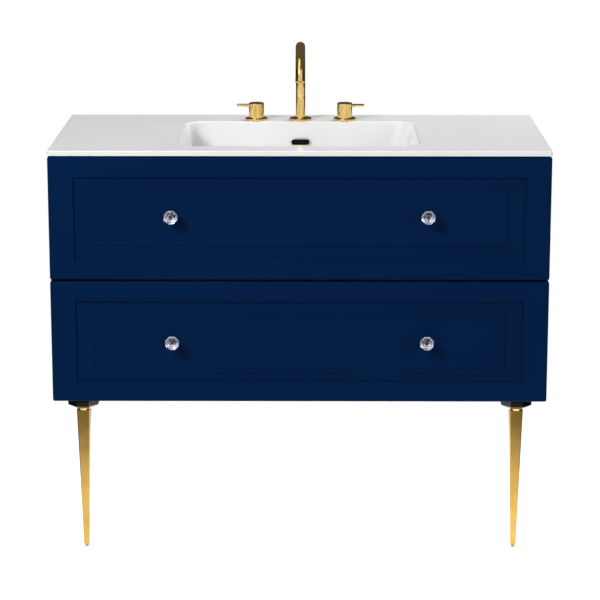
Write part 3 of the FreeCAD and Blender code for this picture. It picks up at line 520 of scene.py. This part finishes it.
def front_bumpers(drawer, material):
    """Soft buttons at the corners of a front's back, which meet the edges of the carcass."""
    low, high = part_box(f"{drawer}_front")
    shape = Shape()
    for x in (-BUMPER_X, BUMPER_X):
        for z in (low.z + BUMPER_FROM_END, high.z - BUMPER_FROM_END):
            shape.lathe(BUMPER_PROFILE, (x, high.y, z), (0, 1, 0), 32)
    shape.piece(f"{drawer}_front_bumpers", f"{drawer}_drawer", "housing_plastic", material)


# ---- Knobs ----

CUP_R = 8.2
KNOB_SCREW_HEAD = 4.5


def knob_places(drawer):
    """Middle of each crystal's back, and half its width."""
    low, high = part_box(f"{drawer}_knob_crystals")
    half = (high.z - low.z) / 2.0
    middle = (low.z + high.z) / 2.0
    return [Vector((side * (high.x - half), high.y, middle)) for side in (-1.0, 1.0)]


def knob_fittings(drawer, chrome, silver, dark, steel):
    """Turned foot and cup behind each crystal, the silver foil on its back facets and the screw."""
    front_low, front_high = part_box(f"{drawer}_front")
    body = f"{drawer}_drawer"
    stems, seats, screws, foils = Shape(), Shape(), Shape(), Shape()
    for place in knob_places(drawer):
        panel = front_low.y + PANEL_DEPTH * MM
        reach = (panel - place.y) / MM - 0.35
        foot = (place.x, panel, place.z)
        profile = [(7.5, 0.0), (7.5, 1.4), (7.1, 2.1), (6.4, 2.5)]
        profile += [(5.4, 2.7), (4.6, 3.6), (4.2, 5.4), (4.3, 7.6)]
        profile += [(5.2, 9.0), (6.8, reach - 1.6), (7.9, reach - 0.8), (CUP_R, reach - 0.3), (CUP_R, reach)]
        stems.lathe(profile, foot, (0, -1, 0), 48)
        seats.lathe([(4.2, reach + 0.02), (4.2, reach + 0.2), (3.8, reach + 0.25)], foot, (0, -1, 0), 32)
        screw_head(screws, (place.x, front_high.y, place.z), (0, 1, 0), KNOB_SCREW_HEAD, 3.0)
        rings = []
        for radius, depth, turned in ((4.6, -0.12, 0.0), (8.75, -0.12, 0.0), (13.75, 4.9, 0.5)):
            centre = (place.x, place.y - depth * MM, place.z)
            rings.append(foils.ring(octagon(radius * MM, centre, turned)))
        foils.bridge(rings[0], rings[1])
        foils.facets(rings[1], rings[2])
    stem = stems.piece(f"{drawer}_knob_stems", body, "chrome", chrome)
    screw = screws.piece(f"{drawer}_knob_screws", body, "fixing_steel", steel)
    seats.piece(f"{drawer}_knob_seats", body, "seal_rubber", dark)
    foil = foils.piece(f"{drawer}_knob_foils", body, "chrome", silver, 10.0)
    sheet = foil.modifiers.new("thickness", "SOLIDIFY")
    sheet.thickness = 0.06 * MM
    sheet.offset = 1.0
    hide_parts(f"{drawer}_knob_bases")
    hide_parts(f"{drawer}_knob_bases")


def octagon(radius, centre, turned):
    """Eight points in an upright plane, in the order of the crystal's own corners."""
    points = []
    for corner in range(8):
        angle = math.pi * (corner + turned) / 4.0
        points.append(Vector(centre) + Vector((radius * math.cos(angle), 0.0, radius * math.sin(angle))))
    return points


def screw_head(shape, base, axis, radius, height):
    """A domed head with a cross recess, radius and height in millimetres."""
    along = Vector(axis)
    count = 48
    rings = []
    for part, rise in ((1.0, 0.0), (1.0, 0.45), (0.93, 0.75), (0.8, 0.92), (0.62, 1.0)):
        centre = Vector(base) + along * rise * height * MM
        rings.append(circle(radius * part * MM, centre, axis, count))
    for size, rise in ((1.0, 1.0), (0.85, 0.62)):
        centre = Vector(base) + along * rise * height * MM
        star = circle(1.0, (0, 0, 0), axis, count)
        for step, ray in enumerate(star):
            from_arm = abs((step + count // 8) % (count // 4) - count // 8)
            reach = 0.55 if from_arm <= 1 else 0.2
            star[step] = centre + ray * reach * size * radius * MM
        rings.append(star)
    shape.loft(rings)


# ---- Plumbing ----


def slot_ring(width, height, y, middle_z, steps=12):
    """A level slot outline about x = 0, sizes in millimetres and place in metres."""
    end = (width - height) / 2.0 * MM
    radius = height / 2.0 * MM
    points = []
    for side, start in ((1.0, -90.0), (-1.0, 90.0)):
        for step in range(steps + 1):
            angle = math.radians(start + 180.0 * step / steps)
            points.append((side * end + radius * math.cos(angle), y, middle_z + radius * math.sin(angle)))
    return points


def overflow_fittings(chrome, dark):
    """The bright bezel of the overflow and the dark sleeve behind it."""
    low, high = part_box("overflow_trim")
    middle = (low.z + high.z) / 2.0
    bezel = Shape()
    rows = ((41.0, 14.0, 2.6), (41.0, 14.0, 1.5), (44.6, 17.6, 1.5), (45.0, 18.0, 1.1), (44.6, 17.6, 0.45))
    rows += ((43.4, 16.4, 0.08), (41.6, 14.6, 0.0), (39.8, 12.8, 0.15), (38.8, 11.8, 0.7), (38.5, 11.5, 2.6))
    bezel.loft([slot_ring(width, height, low.y + depth * MM, middle) for width, height, depth in rows], True)
    front = bezel.piece("overflow_bezel", "cabinet", "chrome", chrome)
    sleeve = Shape()
    back = (high.y - low.y) / MM
    rows = ((41.0, 14.0, 2.7), (41.0, 14.0, back), (39.0, 12.0, back), (38.6, 11.6, 2.7))
    sleeve.loft([slot_ring(width, height, low.y + depth * MM, middle) for width, height, depth in rows], True)
    inner = sleeve.piece("overflow_sleeve", "cabinet", "housing_plastic", dark)
    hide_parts("overflow_trim")
    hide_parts("overflow_trim")


def hexagon_ring(across, limit, centre, count=72):
    """A level hexagon whose corners are cut back to a radius, sizes in millimetres."""
    points = []
    for step in range(count):
        angle = 2.0 * math.pi * step / count
        from_flat = (angle % (math.pi / 3.0)) - math.pi / 6.0
        radius = min(across / 2.0 / math.cos(from_flat), limit) * MM
        points.append(Vector(centre) + Vector((radius * math.cos(angle), radius * math.sin(angle), 0.0)))
    return points


def hexagon_nut(shape, across, bore, low, high, centre):
    """A nut with chamfered corners and a countersunk bore, from one height to another."""
    corner = across / 2.0 / math.cos(math.pi / 6.0)
    x, y = centre
    rings = ((0, bore, 0.8), (0, bore + 0.8, 0.0), (1, across / 2.0 - 0.2, 0.0), (1, corner, 1.6))
    rows = []
    for outside, limit, inwards in rings:
        rows.append((outside, limit, low + inwards * MM))
    for outside, limit, inwards in reversed(rings):
        rows.append((outside, limit, high - inwards * MM))
    loops = []
    for outside, limit, z in rows:
        if outside:
            loops.append(hexagon_ring(across, limit, (x, y, z)))
        else:
            loops.append(circle(limit * MM, (x, y, z), (0, 0, -1), 72))
    shape.loft([align(loop, loops[0]) for loop in loops], True)


def align(loop, first):
    """The loop, started and turned like the first one."""
    towards = first[0] - centre_of(first)
    here = centre_of(loop)
    if turns(loop) * turns(first) < 0:
        loop = list(reversed(loop))
    aim = towards.normalized()
    best = max(range(len(loop)), key=lambda index: (loop[index] - here).normalized().dot(aim))
    return loop[best:] + loop[:best]


def centre_of(loop):
    return sum(loop, Vector()) / len(loop)


def turns(loop):
    middle = centre_of(loop)
    return (loop[0] - middle).cross(loop[1] - middle).z


def nuts(brass, chrome):
    low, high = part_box("tap_nuts")
    half = (high.y - low.y) / 2.0
    shape = Shape()
    corner = half / math.cos(math.pi / 6.0)
    for x in (low.x + corner, 0.0, high.x - corner):
        hexagon_nut(shape, 32.0, 12.0, low.z, high.z, (x, (low.y + high.y) / 2.0))
    tap_nuts = shape.piece("chamfered_tap_nuts", "cabinet", "raw_brass", brass)
    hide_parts("tap_nuts")
    low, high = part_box("waste_nut")
    shape = Shape()
    hexagon_nut(shape, 56.0, 20.95, low.z, high.z, ((low.x + high.x) / 2.0, (low.y + high.y) / 2.0))
    waste_nut = shape.piece("chamfered_waste_nut", "cabinet", "chrome", chrome)
    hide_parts("waste_nut")


def thread(shape, radius, pitch, low, high, centre, rise=0.45, steps=40):
    """A screw thread on an upright shank: radius, pitch and rise in millimetres."""
    count = int((high - low) / (pitch * MM) * steps)
    rings = []
    for step in range(count + 1):
        angle = 2.0 * math.pi * step / steps
        z = low + (high - low) * step / count
        out = Vector((math.cos(angle), math.sin(angle), 0.0))
        place = Vector((*centre, z))
        fade = min(1.0, step / steps, (count - step) / steps)
        crest = place + out * (radius + rise * fade) * MM
        foot = 0.42 * pitch * MM
        below = place + out * (radius - 0.15) * MM - Vector((0, 0, foot))
        above = place + out * (radius - 0.15) * MM + Vector((0, 0, foot))
        rings.append([below, crest, above])
    shape.loft(rings)


def threads(brass):
    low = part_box("tap_valves")[0]
    nuts_low, nuts_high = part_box("tap_nuts")
    shank_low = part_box("spout_shank")[0]
    y = (nuts_low.y + nuts_high.y) / 2.0
    reach = nuts_high.x - (nuts_high.y - nuts_low.y) / 2.0 / math.cos(math.pi / 6.0)
    shape = Shape()
    for x in (-reach, 0.0, reach):
        thread(shape, 12.0, 1.5, shank_low.z + 0.003, nuts_low.z - 0.002, (x, y))
    for x in (-reach, reach):
        thread(shape, 10.48, 1.5, low.z + 0.002, shank_low.z - 0.002, (x, y), 0.3)
    shape.piece("tap_threads", "cabinet", "raw_brass", brass)


def ribbed_nut(shape, outer, bore, length, start, axis, ribs=18):
    """A union nut with grip ribs along it, sizes in millimetres."""
    count = ribs * 8
    rows = []
    for radius, depth, distance in (
        (bore, 0.0, 0.0),
        (outer - 1.4, 0.0, 0.0),
        (outer - 0.4, 0.5, 1.0),
        (outer - 0.4, 1.0, 2.2),
        (outer - 0.4, 1.0, length - 2.2),
        (outer - 0.4, 0.5, length - 1.0),
        (outer - 1.4, 0.0, length),
        (bore, 0.0, length),
    ):
        centre = Vector(start) + Vector(axis) * distance * MM
        loop = circle(1.0, (0, 0, 0), axis, count)
        for step, ray in enumerate(loop):
            lift = depth * max(0.0, math.cos(2.0 * math.pi * step / 8.0)) ** 0.5 if depth else 0.0
            loop[step] = centre + ray * (radius + lift) * MM
        rows.append(loop)
    shape.loft(rows, True)


def union_nuts(plastic):
    low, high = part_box("trap_nuts")
    shape_low, shape_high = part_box("trap_outlet")
    inlet_low, inlet_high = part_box("trap_inlet")
    pipe_r = (inlet_high.x - inlet_low.x) / 2.0 / MM
    outlet_z = (shape_low.z + shape_high.z) / 2.0
    drain_y = (inlet_low.y + inlet_high.y) / 2.0
    shape = Shape()
    outer = (high.x - low.x) / 2.0 / MM
    ribbed_nut(shape, outer, pipe_r, 6.0, (0, drain_y, inlet_high.z - 0.005), (0, 0, 1))
    ribbed_nut(shape, outer, outer - 5.0, 14.0, (0, drain_y, inlet_high.z + 0.001), (0, 0, 1), 24)
    ribbed_nut(shape, pipe_r + 8.0, pipe_r, 20.0, (0, high.y - 0.020, outlet_z), (0, 1, 0))
    made = shape.piece("ribbed_union_nuts", "cabinet", "trap_plastic", plastic, 28.0)
    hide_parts("trap_nuts")


def aerator(gold, dark):
    """The spout's outlet ring and the grid of rings and spokes inside it."""
    low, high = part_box("spout_aerator")
    centre = ((low.x + high.x) / 2.0, (low.y + high.y) / 2.0, low.z)
    outer = (high.x - low.x) / 2.0 / MM
    length = (high.z - low.z) / MM
    ring = Shape()
    ring.lathe(rounded(outer, 7.5, 0.0, length, 0.5), centre, (0, 0, 1), 80, True)
    collar = ring.piece("aerator_ring", "swivel_spout", "gold", gold)
    grid = Shape()
    for inner, out in ((0.9, 1.4), (2.6, 3.1), (4.3, 4.8), (6.0, 7.45)):
        grid.lathe([(inner, 1.2), (out, 1.2), (out, 3.0), (inner, 3.0)], centre, (0, 0, 1), 40, True)
    for spoke in range(12):
        turn = Matrix.Rotation(math.pi * spoke / 6.0, 4, "Z")
        rings = []
        for x in (1.0, 7.0):
            corners = ((x, -0.2, 1.3), (x, 0.2, 1.3), (x, 0.2, 2.8), (x, -0.2, 2.8))
            rings.append([Vector(centre) + turn @ (Vector(corner) * MM) for corner in corners])
        grid.loft(rings)
    grid.lathe([(7.4, 4.2), (7.4, length)], centre, (0, 0, 1), 40)
    inner = grid.piece("aerator_grid", "swivel_spout", "housing_plastic", dark)
    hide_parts("spout_aerator")
    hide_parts("spout_aerator")


RING_BORE = 4.05


def leg_ring_faces(gold):
    """A ring on top of each leg; its face leans down a little, so it mirrors the floor."""
    low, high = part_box("leg_rings")
    outer = (high.y - low.y) / 2.0 / MM
    tall = (high.z - low.z) / MM
    profile = [(RING_BORE, 0.0), (outer - 1.2, 0.0), (outer - 0.8, 0.4)]
    profile += [(outer, tall - 0.7), (outer - 0.5, tall), (RING_BORE, tall)]
    shape = Shape()
    for side in (-1.0, 1.0):
        centre = (side * (high.x - outer * MM), (low.y + high.y) / 2.0, low.z)
        shape.lathe(profile, centre, (0, 0, 1), 96, True)
    ring = shape.piece("leg_ring_faces", "cabinet", "gold", gold)
    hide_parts("leg_rings")


def hanger_screws(steel):
    """Adjusting screws in the two holes of each hanger."""
    low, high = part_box("hangers")
    middle = (low.z + high.z) / 2.0
    shape = Shape()
    for side in (-1.0, 1.0):
        x = side * (high.x - 0.034)
        for z in (middle - 0.016, middle + 0.016):
            screw_head(shape, (x, low.y + 0.004, z), (0, -1, 0), 2.4, 1.6)
    shape.piece("hanger_screws", "cabinet", "fixing_steel", steel)


def make_pieces(looks):
    for drawer in ("upper", "lower"):
        drawer_front(drawer, looks["navy"])
        front_bumpers(drawer, looks["clear"])
        knob_fittings(drawer, looks["chrome"], looks["foil"], looks["dark"], looks["zinc"])
    overflow_fittings(looks["chrome"], looks["dark"])
    nuts(looks["brass"], looks["chrome"])
    threads(looks["brass"])
    union_nuts(looks["trap"])
    aerator(looks["gold"], looks["dark"])
    leg_ring_faces(looks["gold"])
    hanger_screws(looks["zinc"])


# ---- Stage ----


def soft_light(name, place, aim, size, power):
    """An area light that lights surfaces; it shows in polished ones only if that is switched on."""
    data = bpy.data.lights.new(name, "AREA")
    data.shape = "RECTANGLE"
    data.size, data.size_y = size
    data.energy = power
    light = bpy.data.objects.new(name, data)
    light.location = place
    light.rotation_euler = (Vector(aim) - Vector(place)).to_track_quat("-Z", "Y").to_euler()
    light.visible_camera = False
    light.visible_glossy = False
    scene.collection.objects.link(light)
    return light


def make_lights():
    middle = (0.0, 0.0, 0.6)
    soft_light("key_left", (-2.0, -2.3, 2.7), middle, (0.8, 0.8), 118.0)
    soft_light("fill_right", (2.6, -1.9, 1.5), middle, (1.0, 1.8), 36.0)
    soft_light("top", (0.0, -0.45, 2.6), (0.0, -0.2, 0.6), (1.2, 0.3), 13.0)
    soft_light("deck_right", (1.2, 1.5, 1.8), (0.35, 0.0, 0.85), (1.0, 0.5), 58.0)
    soft_light("deck_left", (-1.2, 1.5, 1.8), (-0.35, 0.0, 0.85), (1.0, 0.5), 9.0)
    # The screen is only seen mirrored in the metal, as the pale strip down the spout.
    screen = soft_light("screen", (-1.15, -2.0, 2.3), (0.0, 0.1, 0.95), (2.0, 2.9), 22.0)
    screen.visible_diffuse = False
    screen.visible_glossy = True


def elevation_ramp(t, rise, *stops):
    """Grey levels over the sine of the elevation, from pairs of degrees and level."""
    ramp = t.add("ShaderNodeValToRGB")
    elements = ramp.color_ramp.elements
    while len(elements) < len(stops):
        elements.new(0.5)
    for element, (degrees, level) in zip(elements, stops):
        element.position = (1.0 + math.sin(math.radians(degrees))) / 2.0
        element.color = (level, level, level, 1.0)
    t.link(rise, ramp.inputs["Fac"])
    return ramp.outputs["Color"]


def make_world():
    """White behind the object, and a plain grey room in its reflections and its light."""
    world = bpy.data.worlds.new("studio")
    scene.world = world
    t = Tree(world)
    t.tree.nodes.clear()
    direction = t.add("ShaderNodeTexCoord").outputs["Generated"]
    parts = t.add("ShaderNodeSeparateXYZ")
    t.link(direction, parts.inputs["Vector"])
    rise = t.add("ShaderNodeMapRange")
    rise.inputs["From Min"].default_value = -1.0
    t.link(parts.outputs["Z"], rise.inputs["Value"])
    height = rise.outputs["Result"]
    below = ((-90, 0.5), (-26, 0.45), (-21, 0.32), (-12.5, 0.22))
    ahead = elevation_ramp(t, height, *below, (-9.5, 0.76), (13, 0.76), (20, 0.12), (90, 0.10))
    around = elevation_ramp(t, height, (-90, 0.3), (-30, 0.04), (2, 0.03), (14, 0.1), (40, 0.1), (90, 0.1))
    front = t.add("ShaderNodeMapRange", interpolation_type="SMOOTHSTEP")
    for socket, value in (("From Min", -0.85), ("From Max", -0.45), ("To Min", 0.0), ("To Max", 1.0)):
        front.inputs[socket].default_value = value
    t.link(parts.outputs["Y"], front.inputs["Value"])
    blend = t.add("ShaderNodeMix", data_type="RGBA")
    t.link(front.outputs["Result"], blend.inputs["Factor"])
    t.link(ahead, blend.inputs[6])
    t.link(around, blend.inputs[7])
    room = t.add("ShaderNodeBackground")
    t.link(blend.outputs[2], room.inputs["Color"])
    backdrop = t.add("ShaderNodeBackground")
    backdrop.inputs["Color"].default_value = (1.0, 1.0, 1.0, 1.0)
    seen = t.add("ShaderNodeLightPath")
    mix = t.add("ShaderNodeMixShader")
    t.link(seen.outputs["Is Camera Ray"], mix.inputs["Fac"])
    t.link(room.outputs["Background"], mix.inputs[1])
    t.link(backdrop.outputs["Background"], mix.inputs[2])
    out = t.add("ShaderNodeOutputWorld")
    t.link(mix.outputs["Shader"], out.inputs["Surface"])


def make_floor():
    """A plain pale round floor that fades into the backdrop at its edge."""
    mesh = bpy.data.meshes.new("floor")
    bm = bmesh.new()
    bmesh.ops.create_circle(bm, cap_ends=True, segments=96, radius=2.4)
    bm.to_mesh(mesh)
    bm.free()
    floor = bpy.data.objects.new("floor", mesh)
    floor.location.z = -0.0005
    scene.collection.objects.link(floor)
    material = bpy.data.materials.new("pale_floor")
    t = Tree(material)
    shader = t.tree.nodes["Principled BSDF"]
    shader.inputs["Base Color"].default_value = (0.55, 0.55, 0.55, 1.0)
    shader.inputs["Roughness"].default_value = 0.9
    shader.inputs["Specular IOR Level"].default_value = 0.1
    shader.inputs["Emission Color"].default_value = (1.0, 1.0, 1.0, 1.0)
    shader.inputs["Emission Strength"].default_value = 0.7
    length = t.add("ShaderNodeVectorMath", operation="LENGTH")
    t.link(t.add("ShaderNodeTexCoord").outputs["Object"], length.inputs[0])
    fade = t.add("ShaderNodeMapRange", interpolation_type="SMOOTHSTEP")
    for socket, value in (("From Min", 0.5), ("From Max", 1.1), ("To Min", 1.0), ("To Max", 0.0)):
        fade.inputs[socket].default_value = value
    t.link(length.outputs["Value"], fade.inputs["Value"])
    t.link(fade.outputs["Result"], shader.inputs["Alpha"])
    mesh.materials.append(material)


make_camera()
finishes = make_looks()
finish_nodes(finishes)
make_pieces(finishes)
make_world()
make_lights()
make_floor()
scene.view_settings.view_transform = "Standard"
